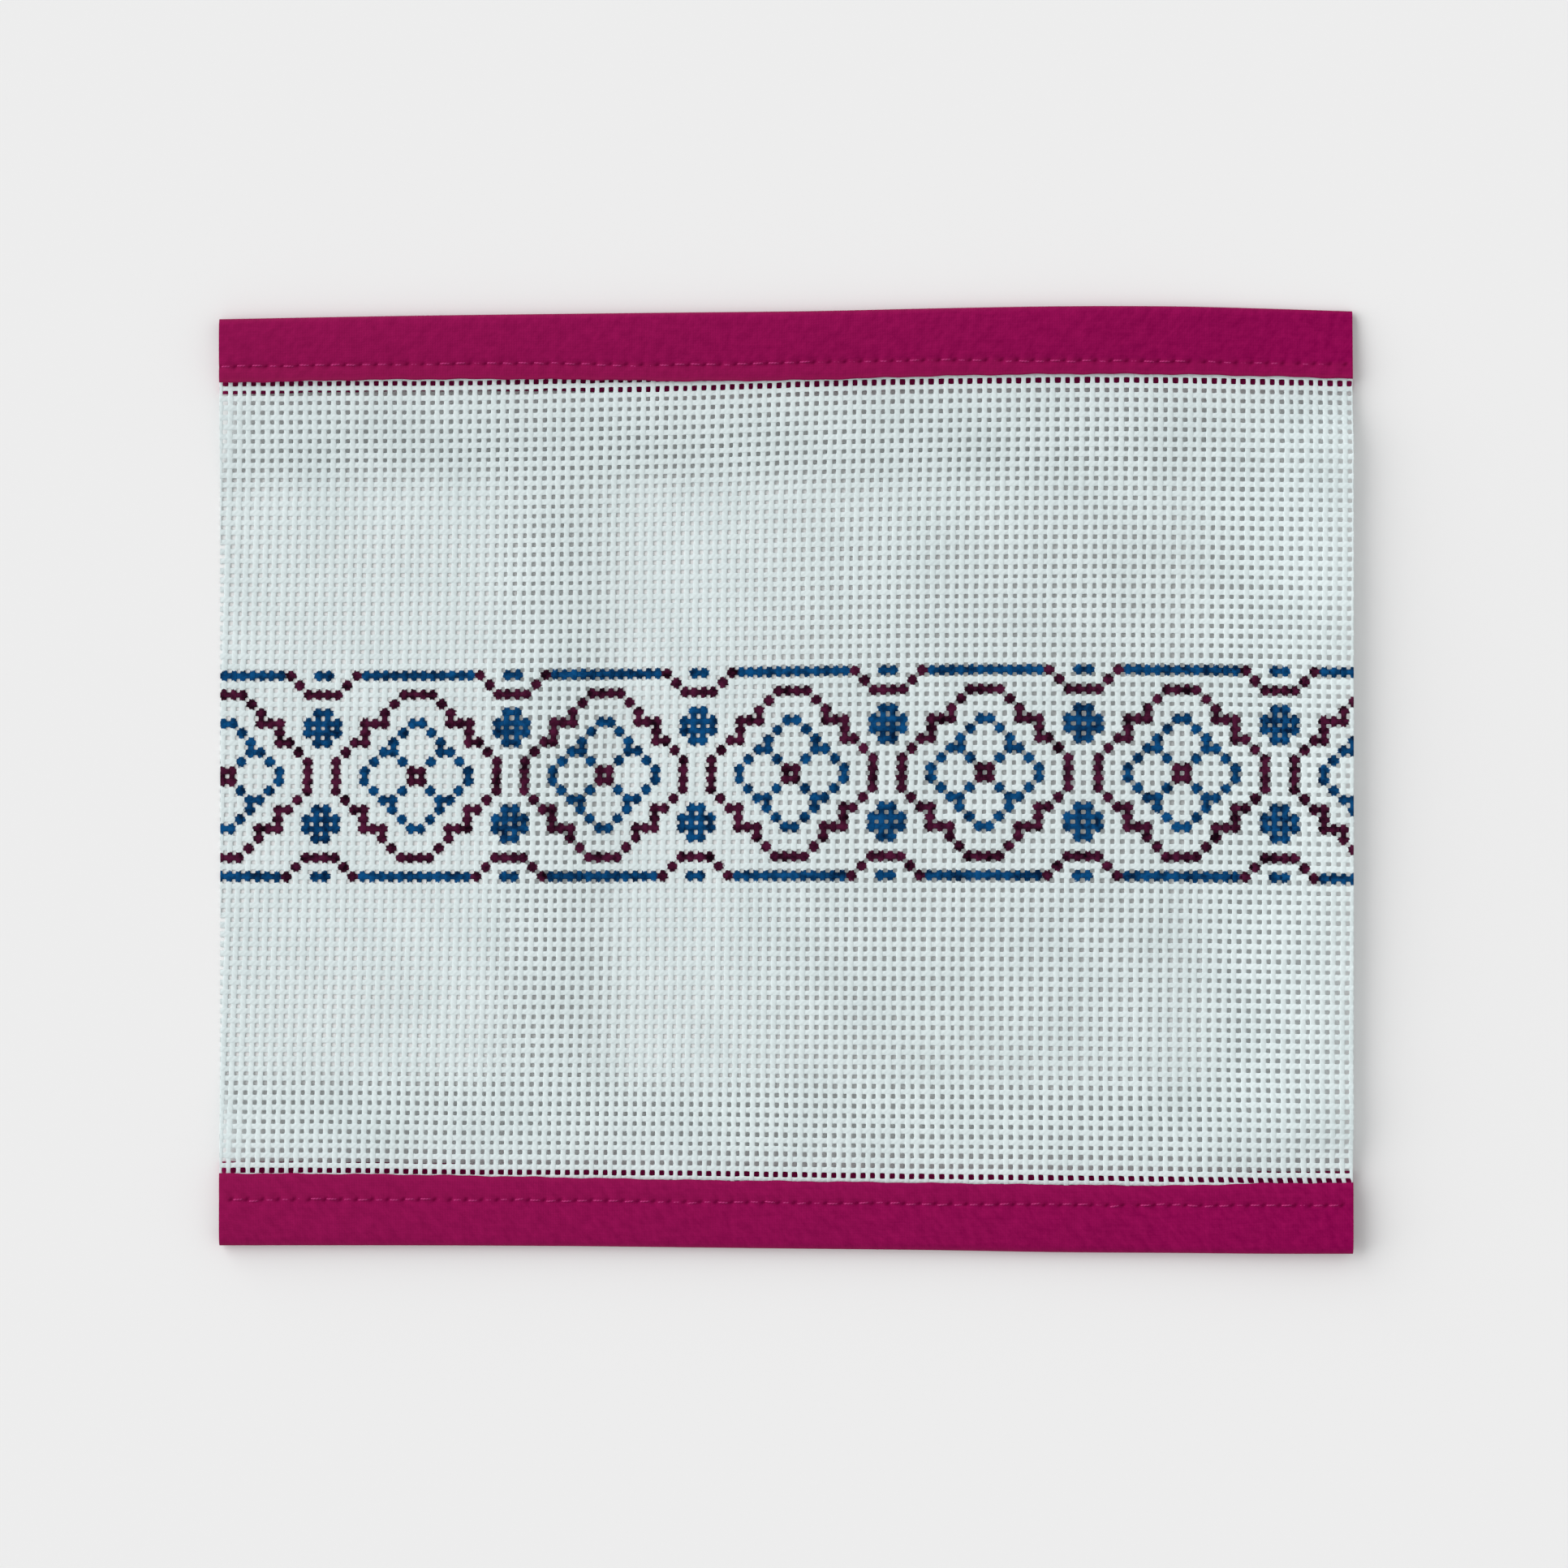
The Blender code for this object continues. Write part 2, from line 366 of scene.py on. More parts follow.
def canvas_material(colours):
    """Cotton mono canvas, woven, stiffened with size, and painted by hand.

    The size glues the plies down, so the threads look smooth and slightly waxy, with only a
    faint twist. The acrylic paint sits on them, soaks in unevenly and ends in a ragged edge.
    Its colour is painted lighter on the thread tops and darker at their sides and in the hole
    corners, as painted highlight and painted shade.
    """
    material, add = new_material("mono_canvas_cotton_sized_and_hand_painted")

    yarn = add("Attribute", {"attribute_name": "yarn"})
    paint = add("Attribute", {"attribute_name": "paint"})
    paint_parts = add("SeparateXYZ", {}, Vector=paint.outputs["Vector"])
    place = add("TexCoord", {})

    # Single fibres show as streaks 0.12 mm apart along a thread, drawn twice as coarse.
    stretched = add("Mapping", {"Scale": (0.5, 4.0, 3.1)}, Vector=yarn.outputs["Vector"])
    fibres = add(
        "TexNoise",
        {"Scale": 1.0, "Detail": 3.0, "Roughness": 0.6},
        Vector=stretched.outputs["Vector"],
    )
    # Two plies twisted together, one turn each 1.1 mm.
    twist = add(
        "TexWave",
        {"bands_direction": "DIAGONAL", "Scale": 0.72, "Distortion": 0.6, "Detail": 1.0},
        Vector=yarn.outputs["Vector"],
    )
    # Patches of cleaner and greyer cotton, about 9 mm across.
    patches = add("TexNoise", {"Scale": 110.0, "Detail": 2.0}, Vector=place.outputs["Object"])
    shade = add(
        "Math",
        {"operation": "MULTIPLY_ADD", "Value_001": 0.55},
        Value=fibres.outputs["Fac"],
        Value_002=patches.outputs["Fac"],
    )
    cotton = add(
        "MapRange",
        {"data_type": "FLOAT_VECTOR", "From_Min_FLOAT3": (0.55,) * 3, "From_Max_FLOAT3": (1.0,) * 3,
         "To_Min_FLOAT3": colours.cotton_shaded, "To_Max_FLOAT3": colours.cotton},
        Vector=shade.outputs["Value"],
    )

    # The brush leaves an edge that wanders by a third of a thread.
    ragged = add("TexNoise", {"Scale": 2600.0, "Detail": 2.0}, Vector=place.outputs["Object"])
    # Paint lies thick and dark in some stitches and thin in others.
    depth = add("TexNoise", {"Scale": 900.0, "Detail": 2.0}, Vector=place.outputs["Object"])
    # The load from the mesh is lighter on thread tops and heavier at their sides and in the corner
    # films, which is painted highlight and painted shade; the noise adds thickness that differs at
    # random.
    load = add(
        "Math",
        {"operation": "MULTIPLY_ADD", "Value_001": 0.7},
        Value=paint_parts.outputs["Z"],
        Value_002=depth.outputs["Fac"],
    )
    surface = cotton.outputs["Vector"]
    covered = []
    for axis, thin, thick in (
        ("X", colours.blue_thin, colours.blue),
        ("Y", colours.maroon_thin, colours.maroon),
    ):
        reach = add(
            "Math",
            {"operation": "MULTIPLY_ADD", "Value_001": 0.5},
            Value=ragged.outputs["Fac"],
            Value_002=paint_parts.outputs[axis],
        )
        cover = add(
            "MapRange",
            {"interpolation_type": "SMOOTHSTEP", "From Min": 0.66, "From Max": 0.8},
            Value=reach.outputs["Value"],
        )
        tone = add(
            "MapRange",
            {"data_type": "FLOAT_VECTOR", "From_Min_FLOAT3": (0.6,) * 3,
             "From_Max_FLOAT3": (1.02,) * 3, "To_Min_FLOAT3": thin, "To_Max_FLOAT3": thick},
            Vector=load.outputs["Value"],
        )
        mixed = add(
            "Mix",
            {"data_type": "RGBA"},
            Factor_Float=cover.outputs["Result"],
            A_Color=surface,
            B_Color=tone.outputs["Vector"],
        )
        surface = mixed.outputs["Result"]
        covered.append(cover.outputs["Result"])

    any_paint = add("Math", {"operation": "MAXIMUM"}, Value=covered[0], Value_001=covered[1])
    # Sized cotton is matt at 0.8, and a coat of acrylic a little smoother.
    roughness = add("MapRange", {"To Min": 0.8, "To Max": 0.6}, Value=any_paint.outputs["Value"])
    relief = add(
        "Math",
        {"operation": "MULTIPLY_ADD", "Value_001": 0.6},
        Value=fibres.outputs["Fac"],
        Value_002=twist.outputs["Fac"],
    )
    bump = add("Bump", {"Strength": 0.35, "Distance": 0.00005}, Height=relief.outputs["Value"])
    shader = add(
        "BsdfPrincipled",
        {"IOR": 1.47, "Specular IOR Level": 0.04},
        **{"Base Color": surface, "Roughness": roughness.outputs["Result"],
           "Normal": bump.outputs["Normal"]},
    )
    add("OutputMaterial", {}, Surface=shader.outputs["BSDF"])
    return material


def tape_material(colours):
    """Cotton tape, plain woven of fine threads and dyed in the piece.

    Its short nap takes the gloss off, so the colour is deep and slightly mottled. The dye has
    rubbed a little paler along the folds. The left end is painted paler as painted glare. The
    tape is painted darker where the needle pulled it in, which is painted shade in the dents.
    """
    material, add = new_material("cotton_tape_plain_woven_and_dyed_magenta")

    cloth = add("Attribute", {"attribute_name": "cloth"})
    marks = add("Attribute", {"attribute_name": "marks"})
    mark_parts = add("SeparateXYZ", {}, Vector=marks.outputs["Vector"])

    # The thread spacing is 0.28 mm, drawn at 0.36 mm so that it just shows.
    weave = []
    for direction in ("X", "Y"):
        ribs = add(
            "TexWave",
            {"bands_direction": direction, "Scale": 0.87, "Distortion": 0.35, "Detail": 1.0,
             "Detail Scale": 0.4},
            Vector=cloth.outputs["Vector"],
        )
        weave.append(ribs.outputs["Fac"])
    crossings = add("Math", {"operation": "MULTIPLY"}, Value=weave[0], Value_001=weave[1])
    # Slubs: stretches of thicker thread 5 mm long, running along the tape.
    slubs_place = add("Mapping", {"Scale": (0.2, 2.4, 1.0)}, Vector=cloth.outputs["Vector"])
    slubs = add("TexNoise", {"Scale": 1.0, "Detail": 2.0}, Vector=slubs_place.outputs["Vector"])
    # The dye is mottled in patches 1 to 3 mm long that slant across the tape.
    mottle_place = add(
        "Mapping",
        {"vector_type": "TEXTURE", "Rotation": (0.0, 0.0, 0.9), "Scale": (1.2, 0.7, 1.0)},
        Vector=cloth.outputs["Vector"],
    )
    mottle = add(
        "TexNoise",
        {"Scale": 0.6, "Detail": 5.0, "Roughness": 0.75},
        Vector=mottle_place.outputs["Vector"],
    )
    tone = add(
        "Math",
        {"operation": "MULTIPLY_ADD", "Value_001": 0.25},
        Value=slubs.outputs["Fac"],
        Value_002=mottle.outputs["Fac"],
    )
    dyed = add(
        "MapRange",
        {"data_type": "FLOAT_VECTOR", "From_Min_FLOAT3": (0.45,) * 3,
         "From_Max_FLOAT3": (0.79,) * 3, "To_Min_FLOAT3": colours.deep,
         "To_Max_FLOAT3": colours.tape},
        Vector=tone.outputs["Value"],
    )
    # Mixes towards the paler colour where the folds are worn, and at the left end as painted glare.
    rubbed = add(
        "Mix",
        {"data_type": "RGBA", "B_Color": with_alpha(colours.rubbed)},
        Factor_Float=mark_parts.outputs["X"],
        A_Color=dyed.outputs["Vector"],
    )
    # Painted shade: the tape is darker at the needle holes.
    pulled = add(
        "Mix",
        {"data_type": "RGBA", "B_Color": with_alpha(colours.pulled)},
        Factor_Float=mark_parts.outputs["Y"],
        A_Color=rubbed.outputs["Result"],
    )
    relief = add(
        "Math",
        {"operation": "MULTIPLY_ADD", "Value_001": 0.8},
        Value=slubs.outputs["Fac"],
        Value_002=crossings.outputs["Value"],
    )
    bump = add("Bump", {"Strength": 0.4, "Distance": 0.00006}, Height=relief.outputs["Value"])
    # Napped cotton is about 0.9 rough, less where the threads are rubbed flat.
    roughness = add("MapRange", {"To Min": 0.92, "To Max": 0.8}, Value=mark_parts.outputs["X"])
    shader = add(
        "BsdfPrincipled",
        {"IOR": 1.47, "Specular IOR Level": 0.04, "Sheen Weight": 0.02, "Sheen Roughness": 0.5},
        **{"Base Color": pulled.outputs["Result"], "Roughness": roughness.outputs["Result"],
           "Normal": bump.outputs["Normal"]},
    )
    add("OutputMaterial", {}, Surface=shader.outputs["BSDF"])
    return material


def sewing_thread_material(colours):
    """Polyester sewing thread, spun, twisted in three plies and dyed to match the tape.

    It is smoother than the cotton under it, so each stitch catches a paler glint.
    """
    material, add = new_material("polyester_sewing_thread_spun_and_dyed_magenta")

    yarn = add("Attribute", {"attribute_name": "yarn"})
    # Three plies with a turn each 0.9 mm cross the thread as ridges 0.3 mm apart.
    plies = add(
        "TexWave",
        {"bands_direction": "DIAGONAL", "Scale": 1.4, "Distortion": 0.3},
        Vector=yarn.outputs["Vector"],
    )
    # The ridges of the plies take the paler colour and the grooves between them the darker one, as
    # painted highlight and painted shade.
    colour = add(
        "Mix",
        {"data_type": "RGBA", "A_Color": with_alpha(colours.thread_shaded),
         "B_Color": with_alpha(colours.thread)},
        Factor_Float=plies.outputs["Fac"],
    )
    roughness = add("MapRange", {"To Min": 0.65, "To Max": 0.5}, Value=plies.outputs["Fac"])
    bump = add("Bump", {"Strength": 0.4, "Distance": 0.00004}, Height=plies.outputs["Fac"])
    shader = add(
        "BsdfPrincipled",
        {"IOR": 1.5, "Specular IOR Level": 0.15},
        **{"Base Color": colour.outputs["Result"], "Roughness": roughness.outputs["Result"],
           "Normal": bump.outputs["Normal"]},
    )
    add("OutputMaterial", {}, Surface=shader.outputs["BSDF"])
    return material


def table_material(colour):
    """A board with matt white paint, rolled on, so that it is even and has no gloss."""
    material, add = new_material("board_painted_matt_white")
    place = add("TexCoord", {})
    # The roller leaves a stipple about 2 mm across, too low to catch the light here.
    stipple = add("TexNoise", {"Scale": 500.0, "Detail": 2.0}, Vector=place.outputs["Object"])
    bump = add("Bump", {"Strength": 0.05, "Distance": 0.00002}, Height=stipple.outputs["Fac"])
    shader = add(
        "BsdfPrincipled",
        {"Base Color": with_alpha(colour), "Roughness": 0.95, "Specular IOR Level": 0.1},
        Normal=bump.outputs["Normal"],
    )
    add("OutputMaterial", {}, Surface=shader.outputs["BSDF"])
    return material


def size_setting(name, description, millimetres):
    return FloatProperty(
        name=name, description=description, default=millimetres * MM, unit="LENGTH"
    )


def colour_setting(name, description, hex_colour):
    return FloatVectorProperty(
        name=name, description=description, default=linear(hex_colour), subtype="COLOR"
    )


class CanvasSettings(PropertyGroup):
    """The threads of the canvas and the colours of its painted band."""

    thread_width: size_setting(
        "Thread width", "Width of a canvas thread between two crossings", 0.74
    )
    crossing_width: size_setting(
        "Crossing width", "Width of a canvas thread where it is pressed over another", 0.93
    )
    thread_height: size_setting("Thread height", "Height of a canvas thread", 0.26)
    crossing_height: size_setting(
        "Crossing height", "Height of a canvas thread where it is pressed over another", 0.2
    )
    crimp: size_setting(
        "Crimp", "How far a thread swings up and down as it passes over and under", 0.05
    )
    paint_swell: FloatProperty(
        name="Paint swell",
        description="How much wider the paint makes a thread, as a share of its width",
        default=0.05,
        subtype="FACTOR",
    )
    cotton: colour_setting("Cotton", "Colour of the canvas where it is clean", "#DEE9EA")
    cotton_shaded: colour_setting(
        "Greyer cotton", "Colour of the canvas where it is greyer", "#D5E1E2"
    )
    # The thin paint colours also serve as a painted highlight on the thread tops, and the thick
    # ones as painted shade at their sides and in the hole corners.
    blue: colour_setting("Blue", "Blue paint where it is thick", "#001A38")
    blue_thin: colour_setting("Thin blue", "Blue paint where it is thin", "#0B4D82")
    maroon: colour_setting("Maroon", "Maroon paint where it is thick", "#12000B")
    maroon_thin: colour_setting("Thin maroon", "Maroon paint where it is thin", "#4F1735")


class BindingSettings(PropertyGroup):
    """The tape that binds the edges."""

    cloth_thickness: size_setting("Cloth thickness", "Thickness of one layer of tape", 0.3)
    turned_in: size_setting("Turned in", "How much of each edge of the tape is turned in", 6.0)
    tape: colour_setting("Tape", "Colour of the tape", "#950B53")
    deep: colour_setting("Deep magenta", "Colour of the tape where the dye lies deepest", "#7F0046")
    # This colour also paints the glare at the tapes' left end.
    rubbed: colour_setting("Rubbed folds", "Colour of the tape along its folds", "#98244F")
    # The needle-hole colour is painted shade in the dents of the seam.
    pulled: colour_setting(
        "Needle holes", "Colour of the tape where the needle pulled it in", "#6C0036"
    )


class StitchSettings(PropertyGroup):
    """The rows of machine stitches."""

    length: size_setting("Stitch length", "Distance from one needle hole to the next", 2.3)
    thread_width: size_setting("Thread width", "Width of the sewing thread", 0.24)
    # The thread colour paints the lit ridges of the plies and the shaded one paints shade between
    # them.
    thread: colour_setting("Thread", "Colour of the sewing thread", "#B83078")
    thread_shaded: colour_setting(
        "Thread between plies", "Colour of the sewing thread between its plies", "#961A58"
    )


class StageSettings(PropertyGroup):
    """The table, the light and the camera."""

    table_size: size_setting("Table size", "Side of the table top", 8000.0)
    table: colour_setting("Table", "Colour of the table top", "#F2F2F2")
    lens: FloatProperty(
        name="Lens", description="Focal length of the camera", default=150.0, unit="CAMERA"
    )
    view_width: size_setting("View width", "Width of what the camera sees at the canvas", 230.5)
    sun_strength: FloatProperty(
        name="Window light",
        description="Strength of the broad light from the upper left",
        default=3.26,
    )
    sun_spread: FloatProperty(
        name="Window spread",
        description="How wide the broad light is",
        default=1.47,
        subtype="ANGLE",
    )
    room_strength: FloatProperty(
        name="Room light", description="Strength of the even light from all round", default=0.577
    )


def charted_paint(columns, rows):
    """Blue and maroon shares of each crossing, as [row, column, colour].

    columns and rows count threads from the middle of a medallion, so all are half numbers.
    """
    half_repeat = WARPS_IN_REPEAT // 2
    across = np.abs((columns + half_repeat) % WARPS_IN_REPEAT - half_repeat)
    chart_column = np.clip(across - 0.5, 0, half_repeat - 1).astype(int)
    chart_row = (np.abs(rows) - 0.5).astype(int)
    chart = np.array([list(line) for line in reversed(QUARTER_CHART)])
    inside = chart_row < len(chart)
    letters = chart[np.where(inside, chart_row, 0)][:, chart_column]
    letters = np.where(inside[:, None], letters, ".")
    return np.stack((letters == "b", letters == "m"), axis=-1).astype(float)


def woven_crossings():
    """Every crossing of the canvas, and a column beyond each cut and a row beyond each edge.

    Gives the row and column counts, and tables laid out as [row, column, ...] of the places,
    the widths of warp and weft against the usual, and the paint.
    """
    rng = np.random.default_rng(18)
    row_counts = np.r_[-CUT_END_WEFT, np.arange(WEFTS), WEFTS - 1 + CUT_END_WEFT]
    column_counts = np.arange(FIRST_WARP - 1, FIRST_WARP + WARPS + 1)
    rows = row_counts - WEFTS_BELOW_MIDDLE + 0.5
    columns = column_counts - 0.5
    shape = (len(rows), len(columns))
    repeats = WARPS_IN_REPEAT * np.arange(len(MEDALLIONS))

    # The threads wander a little: whole threads, single crossings, and slow drifts.
    x = smooth_line(repeats, [each.place for each in MEDALLIONS], columns)
    along = [line.along for line in ROW_LINES]
    near, middle, far = (
        smooth_line(along, [getattr(line, title) for line in ROW_LINES], x)
        for title in ("near", "middle", "far")
    )
    share = rows[:, None] / ROWS_COUNTED
    y = middle + (far - near) / 2 * share + ((far + near) / 2 - middle) * share**2
    y = y + rng.normal(0, THREAD_STRAY, len(rows))[:, None]
    y = y + rng.normal(0, WEFT_CROSSING_STRAY, shape)
    far_shift, near_shift = (
        smooth_line(repeats, [getattr(each, title) for each in MEDALLIONS], columns)
        for title in ("far_shift", "near_shift")
    )
    share = y / SHIFT_DISTANCE
    x = x + (far_shift - near_shift) / 2 * share + (far_shift + near_shift) / 2 * share**2
    x = x + rng.normal(0, THREAD_STRAY, len(columns))
    x = x + rng.normal(0, WARP_CROSSING_STRAY, shape)
    x += 0.05 * np.sin(y / 8.1 + x / 23)
    # At the right, the near seam dragged the warps over in the last stitch before the tape.
    to_edge = -y - binding_line(NEAR, "face", x) + 1.3
    x += 0.45 * np.clip(to_edge / 1.6, 0, 1) * np.clip((x - 20) / 45, 0, 1)
    z = canvas_underside(x, y) + HALF_CANVAS
    far_gap = binding_line(FAR, "face", x) - y
    near_gap = binding_line(NEAR, "face", x) + y
    # The seams pull the last rows of holes open.
    slim = 1 - 0.22 * np.exp(-((np.minimum(far_gap, near_gap) / 2.2) ** 2))

    paint = charted_paint(columns, rows)
    load = rng.uniform(0.5, 1, shape)
    warp_width = slim + rng.normal(0, CROSSING_WIDTH_STRAY, shape)
    warp_width = warp_width + rng.normal(0, THREAD_STRAY, len(columns))
    weft_width = slim + rng.normal(0, CROSSING_WIDTH_STRAY, shape)
    weft_width = weft_width + rng.normal(0, THREAD_STRAY, (len(rows), 1))
    tables = {
        "place": np.stack((x, y, z), axis=-1),
        "warp": warp_width,
        "weft": weft_width,
        "paint": np.concatenate((paint * (0.95 + 0.2 * load[..., None]), load[..., None]), -1),
    }
    return row_counts, column_counts, tables


def canvas_threads(tables, kind, counts, at, lines, over, settings):
    """A set of parallel threads as tubes: points, normals, paint and yarn values, and faces.

    kind is warp or weft. The tables have the direction of the threads first, at are the places
    of the rings along them, and lines the places of the threads in the tables. over is 1 for a
    thread that passes over at the even crossings and -1 for one that passes under.
    """
    centres = between(tables["place"][:, lines], counts, at)
    paint = between(tables["paint"][:, lines], counts, at)
    shares = between(tables[kind][:, lines], counts, at)
    swing = np.cos(np.pi * at)[:, None]
    pressed = swing**2
    middle_width = settings.thread_width / MM
    crossing_width = settings.crossing_width / MM
    widths = shares * (middle_width + (crossing_width - middle_width) * pressed)
    # A coat of paint swells the thread.
    widths *= 1 + settings.paint_swell * paint[..., :2].max(axis=-1)
    middle_height = settings.thread_height / MM
    crossing_height = settings.crossing_height / MM
    heights = middle_height + (crossing_height - middle_height) * pressed + 0 * widths
    centres[..., 2] += settings.crimp / MM * swing * over

    # The cuts at the two ends go straight through the threads.
    if kind == "warp":
        across = RIGHT
        left = np.clip(centres[..., 0] - widths / 2, -HALF_WIDTH, HALF_WIDTH)
        right = np.clip(centres[..., 0] + widths / 2, -HALF_WIDTH, HALF_WIDTH)
        centres[..., 0] = (left + right) / 2
        widths = right - left
        whole = widths > THINNEST_SLIVER
        kept = np.logical_and.accumulate(whole) | np.logical_and.accumulate(whole[::-1])[::-1]
    else:
        across = NEARER
        inside = np.abs(centres[..., 0]) < HALF_WIDTH - 0.02
        kept = inside.copy()
        kept[1:] |= inside[:-1]
        kept[:-1] |= inside[1:]
        centres[..., 0] = np.clip(centres[..., 0], -HALF_WIDTH, HALF_WIDTH)

    points = tube_points(centres, across, widths, heights)
    colour = paint[:, :, None] * np.ones((len(SECTION_PAINT), 1))
    colour[..., :2] *= SECTION_PAINT[:, None]
    colour[..., 2] *= SECTION_PAINT_LOAD_AND_SHADE
    run = np.linalg.norm(np.diff(centres, axis=0), axis=-1).cumsum(axis=0)
    yarn = np.zeros(points.shape)
    yarn[1:, ..., 0] = run[..., None]
    yarn[..., 1] = widths[..., None] * SECTION_ACROSS / 2
    yarn[..., 2] = np.arange(len(lines))[:, None] * 7.0 + (10.0 if kind == "weft" else 0.0)
    sides, ends = tubes_into_faces(kept, len(SECTION_ACROSS))
    normals = tube_normals(centres, across) + 0 * points
    flat = [part[kept].reshape(-1, 3) for part in (points, normals, colour, yarn)]
    return flat, [sides, ends]


def paint_films(place, paint):
    """A thin film for each painted crossing, which rounds the corners of the holes."""
    inside = np.abs(place[..., 0]) < HALF_WIDTH
    painted = inside & (paint[..., :2].max(axis=-1) > 0.5)
    centres = place[painted]
    turn = 2 * np.pi * np.arange(len(FILM_REACH)) / len(FILM_REACH)
    centres = centres + np.array((0, 0, FILM_LEVEL))
    wobble = 1 + 0.05 * np.sin(3.7 * np.arange(len(centres))[:, None] + 1.9 * turn)
    reach = FILM_REACH * wobble
    ring = np.stack((reach * np.cos(turn), reach * np.sin(turn), 0 * reach), axis=-1)
    dome = np.array((0, 0, FILM_DOME))
    points = np.concatenate(
        (centres[:, None] + ring, centres[:, None] + dome, centres[:, None] - dome), axis=1
    )
    points[..., 0] = np.clip(points[..., 0], -HALF_WIDTH, HALF_WIDTH)
    corners = len(FILM_REACH)
    here = np.arange(corners)
    ahead = (here + 1) % corners
    top = np.stack((here, ahead, 0 * here + corners), -1)
    bottom = np.stack((ahead, here, 0 * here + corners + 1), -1)
    first = np.arange(len(centres))[:, None, None] * (corners + 2)
    faces = (first + np.concatenate((top, bottom))).reshape(-1, 3)
    colour = np.repeat(paint[painted][:, None], corners + 2, axis=1)
    # The films take the heaviest load, so the hole corners get painted shade.
    colour[..., 2] *= SECTION_PAINT_LOAD_AND_SHADE.max()
    points = points.reshape(-1, 3)
    normals = np.zeros(points.shape) + UP
    normals[corners + 1 :: corners + 2] = -UP
    return [points, normals, colour.reshape(-1, 3), np.zeros(points.shape)], [faces]


class NEEDLEPOINT_OT_weave_canvas(Operator):
    """Weave the open canvas thread by thread and paint its band"""

    bl_idname = "needlepoint.weave_canvas"
    bl_label = "Weave the canvas"

    def execute(self, context):
        settings = context.scene.needlepoint_canvas
        material = canvas_material(settings)
        row_counts, column_counts, tables = woven_crossings()
        turned = {title: table.swapaxes(0, 1) for title, table in tables.items()}
        warp_rings = np.r_[row_counts[0], np.arange(2 * WEFTS - 1) / 2, row_counts[-1]]
        rows = np.arange(1, WEFTS + 1)
        place = tables["place"]
        for number in range(WARPS // WARPS_IN_STRIP):
            first = FIRST_WARP + number * WARPS_IN_STRIP
            last = first + WARPS_IN_STRIP - 1
            weft_rings = np.arange(2 * first - 1, 2 * last + 2) / 2
            columns = np.arange(first, last + 1)
            lines = columns - column_counts[0]
            parts = (
                canvas_threads(
                    tables, "warp", row_counts, warp_rings, lines, (-1.0) ** columns, settings
                ),
                canvas_threads(
                    turned, "weft", column_counts, weft_rings, rows, (-1.0) ** rows, settings
                ),
                paint_films(place[:, lines], tables["paint"][:, lines]),
            )
            faces = []
            offset = 0
            for values, face_groups in parts:
                for group in face_groups:
                    faces += (group + offset).tolist()
                offset += len(values[0])
            points, normals, paint, yarn = (
                np.concatenate(group) for group in zip(*(values for values, _ in parts))
            )
            strip = new_piece(
                f"canvas_strip_{number + 1}",
                points,
                faces,
                {"paint": paint, "yarn": yarn},
                material,
                "canvas",
                normals,
            )
        return {"FINISHED"}


def stitch_phase(binding, x, length):
    """1 at a needle hole and -1 midway between two."""
    return np.cos(2 * np.pi * (x - binding.first_hole) / length)


def needle_pull(phase):
    """1 at a needle hole, falling off quickly beside it."""
    return ((1 + phase) / 2) ** 5


def face_lift(binding, x, distance, length):
    """How far the outer cloth of a tape stands over its flat height on the face."""
    fold_centre = binding_line(binding, "fold", x) - TAPE_HEIGHT / 2
    face = binding_line(binding, "face", x)
    seam = binding_line(binding, "seam", x)
    edge_share = np.clip((distance - face) / (seam - face), 0, 1)
    fold_share = np.clip((distance - seam) / (fold_centre - seam), 0, 1)
    from_seam = distance - seam
    phase = stitch_phase(binding, x, length)
    lift = 0.08 * (1 - edge_share**2) + 0.16 * np.sin(np.pi * fold_share)
    lift -= 0.35 * np.exp(-(distance - face) / 0.8)
    lift -= 0.08 * np.exp(-((from_seam / 0.5) ** 2))
    lift -= 0.26 * needle_pull(phase) * np.exp(-((from_seam / 0.3) ** 2))
    lift -= 0.03 * phase * np.exp(-np.abs(from_seam) / 1.2)
    # Slanted puckers fan out from the seam, and slow waves run along the tape.
    drag = np.sin(2 * np.pi * (x + 0.9 * from_seam) / 5.3 + 1.3 * np.sin(x / 17))
    lift += 0.03 * drag * np.sin(np.pi * fold_share)
    lift += 0.05 * np.sin(x / 4.9 + 1.1 * np.sin(x / 11)) * fold_share * (1 - fold_share) * 4
    return lift


